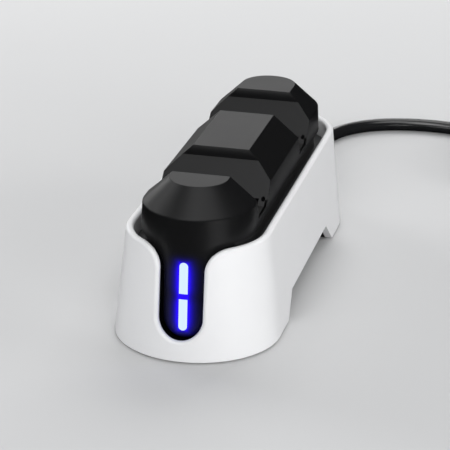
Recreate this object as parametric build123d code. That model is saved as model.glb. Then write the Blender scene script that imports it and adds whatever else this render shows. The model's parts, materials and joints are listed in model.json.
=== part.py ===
"""Two-bay charging dock for game controllers.

Millimetres. X runs across the dock, the front faces -Y and Z is up. The feet stand on Z = 0 and
the origin lies under the middle of the shell.
"""

import math
import os

from build123d import *

# Fits
SLIDE_FIT = 0.15
SCREW_FIT = 0.05
REACH = 120.0

# White outer shell
SHELL_HALF_WIDTH = 32.0
SHELL_END_SPACING = 118.4
SHELL_DRAFT = 6.0
SHELL_WALL = 3.0
RIM_HEIGHT = 43.0
RIM_ROUND = 1.25
LEDGE_TOP = 33.0
LEDGE_DEPTH = 2.0
LEDGE_THICKNESS = 2.0

# Slot in the front of the shell
SLOT_HALF_WIDTH = 8.4
SLOT_BOTTOM = 8.2
SLOT_MOUTH_INSET = 15.2

# Arch in each long side, which leaves a front and a rear foot
ARCH_HEIGHT = 9.9
ARCH_HALF_LENGTH = 34.1
ARCH_SLANT = 10.7

# Black cradle housing
HOUSING_WALL = 2.2
CRADLE_TOP = 62.4
CRADLE_FORWARD = 1.2
TOP_HALF_WIDTH = 11.1
TOP_ROUND = 0.5
CREASE_INSET = 10.9
CREASE_HEIGHT = 53.0
CREASE_ROUND = 0.8
SIDE_DRAFT = 3.1
SKIN_BELOW_RIM = 2.0
SKIN_STEP = 2.2
SKIN_ROUND = 2.0
FLANGE_THICKNESS = 2.0
FLANGE_GAP = 0.3

# Tongue of the housing, seen through the slot
TONGUE_GAP = 0.4
TONGUE_BOTTOM = 7.0
TONGUE_DEPTH = 8.0
TONGUE_SIDE_WALL = 1.0

# Channels that take the controllers
CHANNEL_FRONT_EDGE = -57.4
CHANNEL_PITCH = 74.6
CHANNEL_OPENING = 31.0
CHANNEL_FLOOR = 45.1
FRONT_LEAN = 12.6
REAR_LEAN = 43.5
LIP_HEIGHT = 3.75
LIP_START = 59.0
POCKET_END_INSET = 3.3
POCKET_DEPTH = 1.0
POCKET_MARGIN = 1.2
POCKET_UNDERCUT = 3.6
POCKET_RISE = 2.2
GROOVE_INSET = 0.4
GROOVE_WIDTH = 0.8
GROOVE_DEPTH = 1.2
GROOVE_TAIL = 2.0
PIN_HOLE_INSET = 2.0
PIN_HOLE_RISE = 2.2
PIN_HOLE_DIAMETER = 1.5
PIN_HOLE_DEPTH = 1.8

# Bottom cover and rubber feet
FOOT_PROUD = 0.8
FOOT_SEAT = 0.8
FOOT_DIAMETER = 13.0
FOOT_SIDE_INSET = 15.0
FOOT_END_INSET = 21.2
COVER_WALL = 2.0
COVER_STOP_DEPTH = 1.6
COVER_STOP_HEIGHT = 2.0
COVER_STOP_MARGIN = 4.0

# Cover screws, in columns of the cover and posts of the housing
POST_SIDE_INSET = 20.0
POST_END_INSET = 1.2
POST_DIAMETER = 8.0
COLUMN_TOP = 24.0
COLUMN_DIAMETER = 9.0
COLUMN_SEAT = 3.0
COVER_SCREW_DIAMETER = 3.0
COVER_SCREW_LENGTH = 12.0
COVER_HEAD_DIAMETER = 5.6
COVER_HEAD_HEIGHT = 2.0
COVER_HEAD_ROOM = 0.4

# Main board and its screws
BOARD_TOP = 36.0
BOARD_THICKNESS = 1.6
BOARD_SIDE_INSET = 16.0
BOARD_MARGIN = 7.0
BOARD_POST_INSET = 3.0
BOARD_POST_DIAMETER = 5.0
BOARD_SCREW_DIAMETER = 2.2
BOARD_SCREW_LENGTH = 5.6
BOARD_HEAD_DIAMETER = 4.0
BOARD_HEAD_HEIGHT = 1.4

# Parts under the main board
CHIP_SIDE = 6.0
CHIP_HEIGHT = 1.0
CHIP_OFFSET = 12.0
INDUCTOR_DIAMETER = 6.5
INDUCTOR_HEIGHT = 3.2
INDUCTOR_X = 8.0
INPUT_HEADER_WIDTH = 11.0
INPUT_HEADER_DEPTH = 8.0
INPUT_HEADER_HEIGHT = 7.5
LED_HEADER_WIDTH = 9.0
LED_HEADER_DEPTH = 5.0
LED_HEADER_HEIGHT = 3.4

# Contact noses
NOSE_LENGTH = 20.0
NOSE_WIDTH = 6.6
NOSE_SHOULDER = 2.0
STEM_GAP = 0.5
NOSE_ROUND = 0.8
PRONG_SPACING = 11.0
PRONG_LENGTH = 4.4
PRONG_WIDTH = 3.2
PRONG_RISE = 3.2
BLADE_WIDTH = 2.2
BLADE_THICKNESS = 0.5
BLADE_SETBACK = 0.6

# Light bars, light box and board behind them
BAR_WIDTH = 3.2
LOWER_BAR_BOTTOM = 10.2
BAR_LENGTH = 12.1
BAR_GAP = 2.2
BAR_FLANGE = 0.8
BAR_FIT = 0.05
LIGHT_BOX_HALF_WIDTH = 4.2
LIGHT_BOX_BORDER = 2.0
LED_BOARD_THICKNESS = 1.2
LED_BOARD_BACKSET = 6.0
LED_SIDE = 2.6
LED_HEIGHT = 1.0
LEDS_PER_BAR = 2
RIBBON_WIDTH = 6.0
RIBBON_THICKNESS = 0.5
RIBBON_SAG = 4.0

# Lead: strain relief, cable, coil and plug
CABLE_DIAMETER = 6.0
EXIT_HEIGHT = 11.0
RELIEF_NECK_DIAMETER = 8.8
RELIEF_FLANGE_DIAMETER = 12.0
RELIEF_FLANGE_DEPTH = 2.4
BOOT_LENGTH = 18.0
BOOT_ROOT_DIAMETER = 10.4
BOOT_TIP_DIAMETER = 7.4
BOOT_GROOVES = 4
BOOT_GROOVE_WIDTH = 1.2
BOOT_GROOVE_PITCH = 3.0
LEAD_RUN = 16.0
TURN_SHARE = 0.45
COIL_X = 112.0
COIL_Y = 158.0
COIL_RADIUS = 33.0
COIL_ROUND = 2.7
COIL_STUB = 24.0
TIE_WIDTH = 7.0
TIE_THICKNESS = 0.6
TIE_ANGLE = -45.0
PLUG_HEIGHT = 8.6
PLUG_WIDTH = 16.0
PLUG_LENGTH = 21.0
PLUG_ROUND = 1.6
PLUG_NECK = 9.0
PLUG_NECK_DIAMETER = 8.0
PLUG_SHELL_WIDTH = 12.0
PLUG_SHELL_HEIGHT = 4.5
PLUG_SHELL_LENGTH = 19.0
PLUG_SHELL_WALL = 0.4
PLUG_TONGUE_HEIGHT = 1.9
PLUG_SOCKET_DEPTH = 4.0


# Widths that follow from the shell's
SLOT_MOUTH = SHELL_HALF_WIDTH - SLOT_MOUTH_INSET
SLOT_CORNER = SLOT_MOUTH - SLOT_HALF_WIDTH
CREASE_HALF_WIDTH = SHELL_HALF_WIDTH - CREASE_INSET
POCKET_HALF_LENGTH = CREASE_HALF_WIDTH - POCKET_END_INSET
BOARD_HALF_WIDTH = SHELL_HALF_WIDTH - BOARD_SIDE_INSET
BOARD_POST_X = BOARD_HALF_WIDTH - BOARD_POST_INSET
STEM_LENGTH = 2 * (BOARD_POST_X - STEM_GAP) - BOARD_POST_DIAMETER


def slope(angle):
    """Sideways run for each millimetre of height at a lean in degrees."""
    return math.tan(math.radians(angle))


def shell_half_width(z):
    """Half the width of the shell's outside at a height."""
    return SHELL_HALF_WIDTH - z * slope(SHELL_DRAFT)


def shell_end(z, inset=0.0):
    """Distance from the middle to the shell's end, inset from its outside."""
    return SHELL_END_SPACING / 2 + shell_half_width(z) - inset


def skirt_half_width(z):
    """Half the width of the housing's straight skirt at a height."""
    return CREASE_HALF_WIDTH + (CREASE_HEIGHT - z) * slope(SIDE_DRAFT)


def skirt_front(z):
    """Distance from the middle to the front of the housing's skirt."""
    return CRADLE_FORWARD + SHELL_END_SPACING / 2 + skirt_half_width(z)


# Sizes that follow from those above
CHANNEL_FRONT_EDGES = {"front": CHANNEL_FRONT_EDGE, "rear": CHANNEL_FRONT_EDGE + CHANNEL_PITCH}
SLOT_BACK = -SHELL_END_SPACING / 2
SKIN_BOTTOM = RIM_HEIGHT - SKIN_BELOW_RIM
TONGUE_HALF_WIDTH = SLOT_HALF_WIDTH - TONGUE_GAP
TONGUE_CORNER = SLOT_CORNER + TONGUE_GAP
TONGUE_BACK = TONGUE_DEPTH - skirt_front(CREASE_HEIGHT)
LIP_RADIUS = LIP_HEIGHT / math.cos(math.radians(LIP_START))
LIP_DEPTH = LIP_RADIUS * (1 - math.sin(math.radians(LIP_START)))
FOOT_X = SHELL_HALF_WIDTH - FOOT_SIDE_INSET
FOOT_Y = shell_end(0, FOOT_END_INSET)
POST_X = SHELL_HALF_WIDTH - POST_SIDE_INSET
POST_Y = SHELL_END_SPACING / 2 - POST_END_INSET
COVER_TOP = FOOT_PROUD + COVER_WALL
COVER_SCREW_HOLE = COVER_SCREW_DIAMETER + 2 * SCREW_FIT
BOARD_SCREW_HOLE = BOARD_SCREW_DIAMETER + 2 * SCREW_FIT
BOARD_BOTTOM = BOARD_TOP - BOARD_THICKNESS
NOSE_TOP = CHANNEL_FLOOR + NOSE_SHOULDER
UPPER_BAR_BOTTOM = LOWER_BAR_BOTTOM + BAR_LENGTH + BAR_GAP
UPPER_BAR_TOP = UPPER_BAR_BOTTOM + BAR_LENGTH
LED_BOARD_FRONT = LED_BOARD_BACKSET - skirt_front(UPPER_BAR_TOP)
LED_BOARD_BACK = LED_BOARD_FRONT + LED_BOARD_THICKNESS
RELIEF_END = shell_end(EXIT_HEIGHT) + BOOT_LENGTH
RELIEF_BACK = shell_end(EXIT_HEIGHT, SHELL_WALL) - RELIEF_FLANGE_DEPTH
CABLE_RADIUS = CABLE_DIAMETER / 2
UPPER_TURN = CABLE_DIAMETER + CABLE_RADIUS
COIL_SIDE = 2 * CABLE_DIAMETER
PLUG_AXIS = PLUG_HEIGHT / 2
PLUG_END = PLUG_NECK + PLUG_LENGTH


def floor_front(edge):
    """Front end of a channel's floor, from the channel's front top edge."""
    return edge + (CRADLE_TOP - CHANNEL_FLOOR) * slope(FRONT_LEAN)


def floor_rear(edge):
    """Rear end of a channel's floor, from the channel's front top edge."""
    drop = CRADLE_TOP - LIP_HEIGHT - CHANNEL_FLOOR
    return edge + CHANNEL_OPENING - LIP_DEPTH - drop * slope(REAR_LEAN)


def contact_y(end):
    """Middle of a channel's floor, where its contact nose stands."""
    edge = CHANNEL_FRONT_EDGES[end]
    return (floor_front(edge) + floor_rear(edge)) / 2


BOARD_FRONT = contact_y("front") - BOARD_MARGIN
BOARD_REAR = contact_y("rear") + BOARD_MARGIN


def block(x_range, y_range, z_range):
    """Box between two limits on each axis."""
    sizes = [high - low for low, high in (x_range, y_range, z_range)]
    middles = [(high + low) / 2 for low, high in (x_range, y_range, z_range)]
    return Pos(*middles) * Box(*sizes)


def post(x, y, z_low, z_high, diameter):
    """Upright round post between two heights."""
    return Pos(x, y, (z_low + z_high) / 2) * Cylinder(diameter / 2, z_high - z_low)


def corners(x, y):
    """The four places that mirror one another about the middle."""
    return [(side * x, end * y) for end in (-1, 1) for side in (-1, 1)]


def tapered(half_width, z_low, z_high, draft):
    """Solid with two round ends in plan that narrows upwards."""
    plan = Pos(0, 0, z_low) * SlotCenterToCenter(SHELL_END_SPACING, 2 * half_width, rotation=90)
    return extrude(plan, z_high - z_low, taper=draft)


def shell_form(inset, z_low, z_high):
    """Form of the shell's outside, drawn in by an inset."""
    return tapered(shell_half_width(z_low) - inset, z_low, z_high, SHELL_DRAFT)


def housing_layer(half_width, z_low, z_high, draft):
    """Layer of the housing, which stands a little in front of the shell's middle."""
    return Pos(0, -CRADLE_FORWARD, 0) * tapered(half_width, z_low, z_high, draft)


def skirt_form(inset, z_low, z_high=CREASE_HEIGHT):
    """Straight skirt of the housing, drawn in by an inset."""
    return housing_layer(skirt_half_width(z_low) - inset, z_low, z_high, SIDE_DRAFT)


def cradle_form(inset, z_low):
    """Housing without its channels: straight skirt and chamfered cap, drawn in by an inset."""
    rise = CRADLE_TOP - CREASE_HEIGHT
    run = CREASE_HALF_WIDTH - TOP_HALF_WIDTH
    face = math.hypot(rise, run)
    crease_z = CREASE_HEIGHT - inset * (face - rise) / (run - rise * slope(SIDE_DRAFT))
    crease = skirt_half_width(crease_z) - inset
    top = TOP_HALF_WIDTH - inset * (face - run) / rise
    cap_lean = math.degrees(math.atan2(crease - top, CRADLE_TOP - inset - crease_z))
    cap = housing_layer(crease, crease_z, CRADLE_TOP - inset, cap_lean)
    return skirt_form(inset, z_low, crease_z) + cap


def at_height(solid, z):
    """Edges that lie level at a height."""
    margin = SLIDE_FIT
    return solid.edges().filter_by_position(Axis.Z, z - margin, z + margin)


def slot_outline(half_width, bottom, top=RIM_HEIGHT):
    """Slot in the XZ plane with a round bottom, open at the top."""
    centre = bottom + half_width
    straight = Pos(0, (centre + top) / 2) * Rectangle(2 * half_width, top - centre)
    return straight + Pos(0, centre) * Circle(half_width)


def flared_outline(half_width, bottom, top, corner):
    """Slot with its two upper corners rounded outwards."""
    centre_x = half_width + corner
    mouth = Pos(0, top - corner / 2) * Rectangle(2 * centre_x, corner)
    for side in (-1, 1):
        mouth -= Pos(side * centre_x, top - corner) * Circle(corner)
    return slot_outline(half_width, bottom, top) + mouth


def front_prism(outline, back=TONGUE_BACK):
    """Outline in the XZ plane carried from in front of the dock to a depth."""
    depth = REACH + back
    return extrude(Plane((0, -REACH, 0), x_dir=(1, 0, 0), z_dir=(0, -1, 0)) * outline, -depth)


def side_prism(outline):
    """Outline in the YZ plane carried across the whole width."""
    return extrude(Plane.YZ * outline, REACH, both=True)


def arch_line(lift):
    """Underside of the dock along Y, from foot to foot, raised by a lift."""
    foot = ARCH_HALF_LENGTH + ARCH_SLANT * (ARCH_HEIGHT - FOOT_PROUD) / ARCH_HEIGHT
    half = [(ARCH_HALF_LENGTH, ARCH_HEIGHT + lift), (foot, FOOT_PROUD + lift)]
    half.append((REACH, FOOT_PROUD + lift))
    return [(-y, z) for y, z in reversed(half)] + half


def behind_slot(back, z_low, z_high):
    """Room behind the mouth of the slot, as far as a depth and between two heights."""
    return block((-SLOT_MOUTH, SLOT_MOUTH), (-REACH, back), (z_low, z_high))


def shell_cavity():
    """Inside of the shell, with the ledge that carries the housing."""
    ledge_low = LEDGE_TOP - LEDGE_THICKNESS
    cavity = shell_form(SHELL_WALL, FOOT_PROUD, RIM_HEIGHT)
    ledge = shell_form(SHELL_WALL, ledge_low, LEDGE_TOP)
    ledge -= shell_form(SHELL_WALL + LEDGE_DEPTH, ledge_low, LEDGE_TOP)
    return cavity - (ledge - behind_slot(SLOT_BACK, ledge_low, LEDGE_TOP))


def cover_stops():
    """Ribs at both ends of the shell that the bottom cover is drawn up against."""
    top = COVER_TOP + COVER_STOP_HEIGHT
    rib = shell_form(SHELL_WALL, COVER_TOP, top)
    rib -= shell_form(SHELL_WALL + COVER_STOP_DEPTH, COVER_TOP, top)
    middle = ARCH_HALF_LENGTH + ARCH_SLANT + COVER_STOP_MARGIN
    return rib - block((-REACH, REACH), (-middle, middle), (0, RIM_HEIGHT))


def rim_edges(shell):
    """Inner and outer edges that run round the rim and down the slot."""
    edges = []
    for face in shell.faces():
        centre = face.center()
        level = centre.Z > RIM_HEIGHT - SLIDE_FIT
        beside_slot = abs(centre.X) < SLOT_MOUTH and centre.Y < SLOT_BACK
        in_slot = beside_slot and abs(face.normal_at().Y) < SLIDE_FIT and centre.Z > SLOT_BOTTOM - RIM_ROUND
        if level or in_slot:
            edges += face.edges()
    return ShapeList(edges).filter_by(Axis.Y, reverse=True)


def base_shell():
    """White outer shell."""
    arch = make_face(Polyline(*arch_line(0), (REACH, -REACH), (-REACH, -REACH), close=True))
    shell = shell_form(0, FOOT_PROUD, RIM_HEIGHT) - shell_cavity() + cover_stops()
    outline = flared_outline(SLOT_HALF_WIDTH, SLOT_BOTTOM, RIM_HEIGHT, SLOT_CORNER)
    shell -= front_prism(outline, SLOT_BACK)
    shell = fillet(rim_edges(shell), RIM_ROUND)
    shell -= side_prism(arch)
    shell -= relief_axis() * Cylinder(RELIEF_NECK_DIAMETER / 2 + SCREW_FIT, SHELL_END_SPACING / 2)
    return shell


def channel_outline(edge, wall):
    """Section of a channel in the YZ plane, widened by a wall."""
    rear = edge + CHANNEL_OPENING
    lip_end = (rear - LIP_DEPTH, CRADLE_TOP - LIP_HEIGHT)
    lip_centre = (lip_end[0] + LIP_RADIUS, lip_end[1])
    middle = math.radians((LIP_START + 90) / 2)
    lip_middle = (
        lip_centre[0] - LIP_RADIUS * math.sin(middle),
        lip_centre[1] + LIP_RADIUS * math.cos(middle),
    )
    walls = Polyline(
        lip_end,
        (floor_rear(edge), CHANNEL_FLOOR),
        (floor_front(edge), CHANNEL_FLOOR),
        (edge, CRADLE_TOP),
        (edge, REACH),
        (rear, REACH),
        (rear, CRADLE_TOP),
    )
    face = make_face(walls + ThreePointArc((rear, CRADLE_TOP), lip_middle, lip_end))
    return offset(face, wall, kind=Kind.INTERSECTION) if wall else face


def channels(wall):
    """Both channels as solids across the dock, widened by a wall."""
    front, rear = (side_prism(channel_outline(edge, wall)) for edge in CHANNEL_FRONT_EDGES.values())
    return front + rear


def pocket(edge, wall):
    """Pocket in a channel's floor that runs in under the rear wall, widened by a wall."""
    half = POCKET_HALF_LENGTH + wall
    front = floor_front(edge) + POCKET_MARGIN - wall
    rear = floor_rear(edge) + POCKET_UNDERCUT + wall
    heights = (CHANNEL_FLOOR - POCKET_DEPTH - wall, CHANNEL_FLOOR + POCKET_RISE + wall)
    return block((-half, half), (front, rear), heights)


def channel_details(edge):
    """Pocket, end grooves and pin holes cut into one channel's floor and rear wall."""
    cuts = pocket(edge, 0)
    side = skirt_half_width(CHANNEL_FLOOR)
    lengths = (floor_front(edge), floor_rear(edge) + GROOVE_TAIL)
    heights = (CHANNEL_FLOOR - GROOVE_DEPTH, CHANNEL_FLOOR + GROOVE_TAIL)
    groove_x = side - GROOVE_INSET - GROOVE_WIDTH / 2
    groove = Box(GROOVE_WIDTH, lengths[1] - lengths[0], heights[1] - heights[0])
    hole_y = floor_rear(edge) + PIN_HOLE_RISE * slope(REAR_LEAN)
    hole = Rot(90, 0, 0) * Cylinder(PIN_HOLE_DIAMETER / 2, 2 * PIN_HOLE_DEPTH)
    for sign in (-1, 1):
        cuts += Pos(sign * groove_x, sum(lengths) / 2, sum(heights) / 2) * groove
        cuts += Pos(sign * (side - PIN_HOLE_INSET), hole_y, CHANNEL_FLOOR + PIN_HOLE_RISE) * hole
    return cuts


def tongue_room(fit, back):
    """Space between the tongue's side walls, less a fit."""
    wall = TONGUE_SIDE_WALL + fit
    return front_prism(slot_outline(TONGUE_HALF_WIDTH - wall, TONGUE_BOTTOM + wall), back)


def skin():
    """Outer skin of the housing: to just below the rim all round and to the tongue's foot in the slot."""
    outline = flared_outline(TONGUE_HALF_WIDTH, TONGUE_BOTTOM, SKIN_BOTTOM, TONGUE_CORNER)
    tongue = front_prism(outline, SLOT_BACK)
    form = cradle_form(0, FOOT_PROUD)
    form -= block((-REACH, REACH), (-REACH, REACH), (0, SKIN_BOTTOM)) - tongue
    form = fillet(lower_edges(form), SKIN_ROUND)
    form = fillet(at_height(form, CREASE_HEIGHT), CREASE_ROUND)
    form = fillet(at_height(form, CRADLE_TOP), TOP_ROUND)
    return form - block((-REACH, REACH), (TONGUE_BACK, REACH), (0, LEDGE_TOP))


def lower_edges(form):
    """Edges along the bottom of the faces that rise to the crease."""
    edges = []
    for face in form.faces():
        if abs(face.bounding_box().max.Z - CREASE_HEIGHT) < SLIDE_FIT:
            edges += [edge for edge in face.edges() if edge.center().Z < SKIN_BOTTOM + SLIDE_FIT]
    return edges


def flange():
    """Flange of the housing that rests on the shell's ledge, open behind the slot."""
    top = LEDGE_TOP + FLANGE_THICKNESS
    return shell_form(SHELL_WALL + FLANGE_GAP, LEDGE_TOP, top) - behind_slot(TONGUE_BACK, LEDGE_TOP, top)


def housing_outside():
    """Outside of the housing: skin, core that steps in below it, and flange."""
    return skin() + cradle_form(SKIN_STEP, LEDGE_TOP) + flange()


def housing_inside():
    """Hollow of the housing: behind the skin, in the core and in the tongue."""
    hollow = cradle_form(HOUSING_WALL, SKIN_BOTTOM + HOUSING_WALL)
    hollow += cradle_form(SKIN_STEP + HOUSING_WALL, LEDGE_TOP)
    hollow -= channels(HOUSING_WALL)
    for edge in CHANNEL_FRONT_EDGES.values():
        hollow -= pocket(edge, HOUSING_WALL)
    return hollow + (skirt_form(HOUSING_WALL, TONGUE_BOTTOM) & tongue_room(0, TONGUE_BACK))


def housing_posts():
    """Posts inside the housing: four for the cover screws, four for the board."""
    posts = [post(x, y, COLUMN_TOP, CRADLE_TOP, POST_DIAMETER) for x, y in corners(POST_X, POST_Y)]
    for x, y in board_holes():
        posts.append(post(x, y, BOARD_TOP, CHANNEL_FLOOR, BOARD_POST_DIAMETER))
    return posts


def board_holes():
    """Places of the board's screws, two beside each contact nose."""
    return [(side * BOARD_POST_X, contact_y(end)) for end in CHANNEL_FRONT_EDGES for side in (-1, 1)]


def cradle_housing():
    """Black housing: a hollow moulding with its channels, posts, tongue and openings."""
    below = block((-REACH, REACH), (-REACH, REACH), (0, LEDGE_TOP))
    room = cradle_form(0, LEDGE_TOP) - channels(0)
    housing = housing_outside() - channels(0) - housing_inside()
    for pillar in housing_posts():
        housing += pillar & (room + below)
    for edge in CHANNEL_FRONT_EDGES.values():
        housing -= channel_details(edge)
    for end in CHANNEL_FRONT_EDGES:
        housing -= nose_stem(end, SLIDE_FIT)
    for x, y in corners(POST_X, POST_Y):
        housing -= post(x, y, COLUMN_TOP, COLUMN_TOP + COVER_SCREW_LENGTH, COVER_SCREW_HOLE)
    for x, y in board_holes():
        housing -= post(x, y, BOARD_TOP, BOARD_BOTTOM + BOARD_SCREW_LENGTH, BOARD_SCREW_HOLE)
    for outline in bar_outlines(BAR_FIT):
        housing -= front_prism(outline)
    return housing


def bottom_cover():
    """Cover that follows the arch, with screw columns and seats for the feet."""
    section = Polyline(*arch_line(0), *reversed(arch_line(COVER_WALL)), close=True)
    cover = side_prism(make_face(section)) & shell_form(SHELL_WALL + SLIDE_FIT, FOOT_PROUD, RIM_HEIGHT)
    for x, y in corners(POST_X, POST_Y):
        cover += post(x, y, FOOT_PROUD, COLUMN_TOP, COLUMN_DIAMETER)
    for x, y in corners(POST_X, POST_Y):
        seat = COLUMN_TOP - COLUMN_SEAT
        cover -= post(x, y, 0, seat, COVER_HEAD_DIAMETER + 2 * COVER_HEAD_ROOM)
        cover -= post(x, y, seat, COLUMN_TOP, COVER_SCREW_HOLE)
    for x, y in corners(FOOT_X, FOOT_Y):
        cover -= post(x, y, 0, FOOT_PROUD + FOOT_SEAT, FOOT_DIAMETER + 2 * SLIDE_FIT)
    return cover


def foot_pad(x, y):
    """Rubber foot, pressed into its seat in the cover."""
    pad = post(x, y, 0, FOOT_PROUD + FOOT_SEAT, FOOT_DIAMETER)
    return chamfer(pad.edges().group_by(Axis.Z)[0], FOOT_PROUD / 2)


def foot_pads():
    """The four feet by name."""
    names = ["front_left", "front_right", "rear_left", "rear_right"]
    return {f"foot_pad_{name}": foot_pad(x, y) for name, (x, y) in zip(names, corners(FOOT_X, FOOT_Y))}


def screw(x, y, seat, length, diameter, head_diameter, head_height):
    """Pan-head screw that points up, with its head under a seat."""
    head = post(x, y, seat - head_height, seat, head_diameter)
    head = fillet(head.edges().group_by(Axis.Z)[0], head_height / 2)
    return head + post(x, y, seat, seat + length, diameter)


def cover_screws():
    """Screws that draw the cover and the housing together on the shell."""
    seat = COLUMN_TOP - COLUMN_SEAT
    sizes = (COVER_SCREW_LENGTH, COVER_SCREW_DIAMETER, COVER_HEAD_DIAMETER, COVER_HEAD_HEIGHT)
    return Compound([screw(x, y, seat, *sizes) for x, y in corners(POST_X, POST_Y)])


def board_screws():
    """Screws that hold the board up against its posts."""
    sizes = (BOARD_SCREW_LENGTH, BOARD_SCREW_DIAMETER, BOARD_HEAD_DIAMETER, BOARD_HEAD_HEIGHT)
    return Compound([screw(x, y, BOARD_BOTTOM, *sizes) for x, y in board_holes()])


def main_board():
    """Circuit board that carries both contact noses."""
    width = (-BOARD_HALF_WIDTH, BOARD_HALF_WIDTH)
    board = block(width, (BOARD_FRONT, BOARD_REAR), (BOARD_BOTTOM, BOARD_TOP))
    for x, y in board_holes():
        board -= post(x, y, 0, REACH, BOARD_SCREW_HOLE)
    return board


def chip_places():
    """Places along the board of the two charging circuits, between the contact noses."""
    return [contact_y("front") + CHIP_OFFSET, contact_y("rear") - CHIP_OFFSET]


def charge_chips():
    """One charging chip for each contact nose, under the board."""
    chip = Box(CHIP_SIDE, CHIP_SIDE, CHIP_HEIGHT)
    return Compound([Pos(0, y, BOARD_BOTTOM - CHIP_HEIGHT / 2) * chip for y in chip_places()])


def power_inductors():
    """One round inductor beside each charging chip."""
    low = BOARD_BOTTOM - INDUCTOR_HEIGHT
    return Compound([post(INDUCTOR_X, y, low, BOARD_BOTTOM, INDUCTOR_DIAMETER) for y in chip_places()])


def input_header():
    """Connector for the supply lead at the board's rear end."""
    half = INPUT_HEADER_WIDTH / 2
    heights = (BOARD_BOTTOM - INPUT_HEADER_HEIGHT, BOARD_BOTTOM)
    return block((-half, half), (BOARD_REAR - INPUT_HEADER_DEPTH, BOARD_REAR), heights)


def led_header():
    """Connector for the light ribbon at the board's front end."""
    half = LED_HEADER_WIDTH / 2
    heights = (BOARD_BOTTOM - LED_HEADER_HEIGHT, BOARD_BOTTOM)
    return block((-half, half), (BOARD_FRONT, BOARD_FRONT + LED_HEADER_DEPTH), heights)


def nose_block(end, length, width, z_low):
    """Upright block with round corners at a contact nose, up to its shoulder."""
    form = Pos(0, contact_y(end), (z_low + NOSE_TOP) / 2) * Box(length, width, NOSE_TOP - z_low)
    return fillet(form.edges().filter_by(Axis.Z), NOSE_ROUND)


def nose_stem(end, room=0.0):
    """Stem of a contact nose, from the board up through the channel's floor between the board's posts."""
    return nose_block(end, STEM_LENGTH + 2 * room, NOSE_WIDTH + 2 * room, BOARD_TOP)


def blades(end):
    """Metal blades let into the front of each prong, down to the board."""
    solids = []
    front = contact_y(end) - PRONG_WIDTH / 2
    top = NOSE_TOP + PRONG_RISE - BLADE_SETBACK
    for side in (-1, 1):
        x = side * PRONG_SPACING / 2
        limits = (x - BLADE_WIDTH / 2, x + BLADE_WIDTH / 2)
        solids.append(block(limits, (front, front + BLADE_THICKNESS), (BOARD_TOP, top)))
    return solids


def contact_block(end):
    """Contact nose: a stem and a head with two rounded prongs that enter the controller."""
    nose = nose_stem(end) + nose_block(end, NOSE_LENGTH, NOSE_WIDTH, CHANNEL_FLOOR)
    for side in (-1, 1):
        prong = Box(PRONG_LENGTH, PRONG_WIDTH, PRONG_RISE)
        prong = fillet(prong.edges().filter_by(Axis.Z), NOSE_ROUND)
        prong = chamfer(prong.faces().sort_by(Axis.Z)[-1].edges(), BLADE_SETBACK / 2)
        nose += Pos(side * PRONG_SPACING / 2, contact_y(end), NOSE_TOP + PRONG_RISE / 2) * prong
    for blade in blades(end):
        nose -= blade
    return nose


def bar_outline(low, growth, round_top):
    """Outline of one light bar in the XZ plane, with one round end, grown all round."""
    half = BAR_WIDTH / 2 + growth
    bottom, top = low - growth, low + BAR_LENGTH + growth
    centre = top - half if round_top else bottom + half
    straight = (bottom, centre) if round_top else (centre, top)
    shape = Pos(0, sum(straight) / 2) * Rectangle(2 * half, straight[1] - straight[0])
    return shape + Pos(0, centre) * Circle(half)


def bar_outlines(growth):
    """Outlines of the lower and the upper bar."""
    return [bar_outline(LOWER_BAR_BOTTOM, growth, False), bar_outline(UPPER_BAR_BOTTOM, growth, True)]


def skirt_layer(outer, inner, outline):
    """Slice of the housing's front between two insets, cut to an outline."""
    form = skirt_form(outer, TONGUE_BOTTOM) - skirt_form(inner, TONGUE_BOTTOM)
    return form & front_prism(outline, LED_BOARD_FRONT)


def light_bar(index):
    """Translucent bar, flush with the tongue, with a flange behind it."""
    bar = skirt_layer(0, HOUSING_WALL, bar_outlines(0)[index])
    flange_outline = bar_outlines(BAR_FLANGE)[index]
    return bar + skirt_layer(HOUSING_WALL, HOUSING_WALL + BAR_FLANGE, flange_outline)


def light_box():
    """White box that keeps the light of the two bars apart."""
    low = LOWER_BAR_BOTTOM - LIGHT_BOX_BORDER
    high = UPPER_BAR_TOP + LIGHT_BOX_BORDER
    frame = Pos(0, (low + high) / 2) * Rectangle(2 * LIGHT_BOX_HALF_WIDTH, high - low)
    for outline in bar_outlines(0):
        frame -= outline
    form = skirt_form(HOUSING_WALL + BAR_FLANGE, TONGUE_BOTTOM)
    return form & front_prism(frame, LED_BOARD_FRONT) & tongue_room(SLIDE_FIT, LED_BOARD_FRONT)


def led_board():
    """Upright board behind the light box."""
    heights = (LOWER_BAR_BOTTOM, UPPER_BAR_TOP)
    board = block((-SLOT_HALF_WIDTH, SLOT_HALF_WIDTH), (LED_BOARD_FRONT, LED_BOARD_BACK), heights)
    return board & tongue_room(SLIDE_FIT, LED_BOARD_BACK)


def led_chips():
    """Light-emitting chips on the board, evenly spread behind each bar."""
    chips = []
    for low in (LOWER_BAR_BOTTOM, UPPER_BAR_BOTTOM):
        for count in range(LEDS_PER_BAR):
            z = low + BAR_LENGTH * (count + 0.5) / LEDS_PER_BAR
            chip = Box(LED_SIDE, LED_HEIGHT, LED_SIDE)
            chips.append(Pos(0, LED_BOARD_FRONT - LED_HEIGHT / 2, z) * chip)
    return Compound(chips)


def led_ribbon():
    """Flat ribbon from the light board to its header."""
    start_z = (LOWER_BAR_BOTTOM + UPPER_BAR_TOP) / 2
    end_z = BOARD_BOTTOM - LED_HEADER_HEIGHT / 2
    middle = (LED_BOARD_BACK + BOARD_FRONT) / 2
    line = Polyline((LED_BOARD_BACK, start_z), (middle, end_z - RIBBON_SAG), (BOARD_FRONT, end_z))
    ribbon = extrude(Plane.YZ * trace(line, RIBBON_THICKNESS), RIBBON_WIDTH / 2, both=True)
    return ribbon & block((-REACH, REACH), (LED_BOARD_BACK, BOARD_FRONT), (0, REACH))


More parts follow.
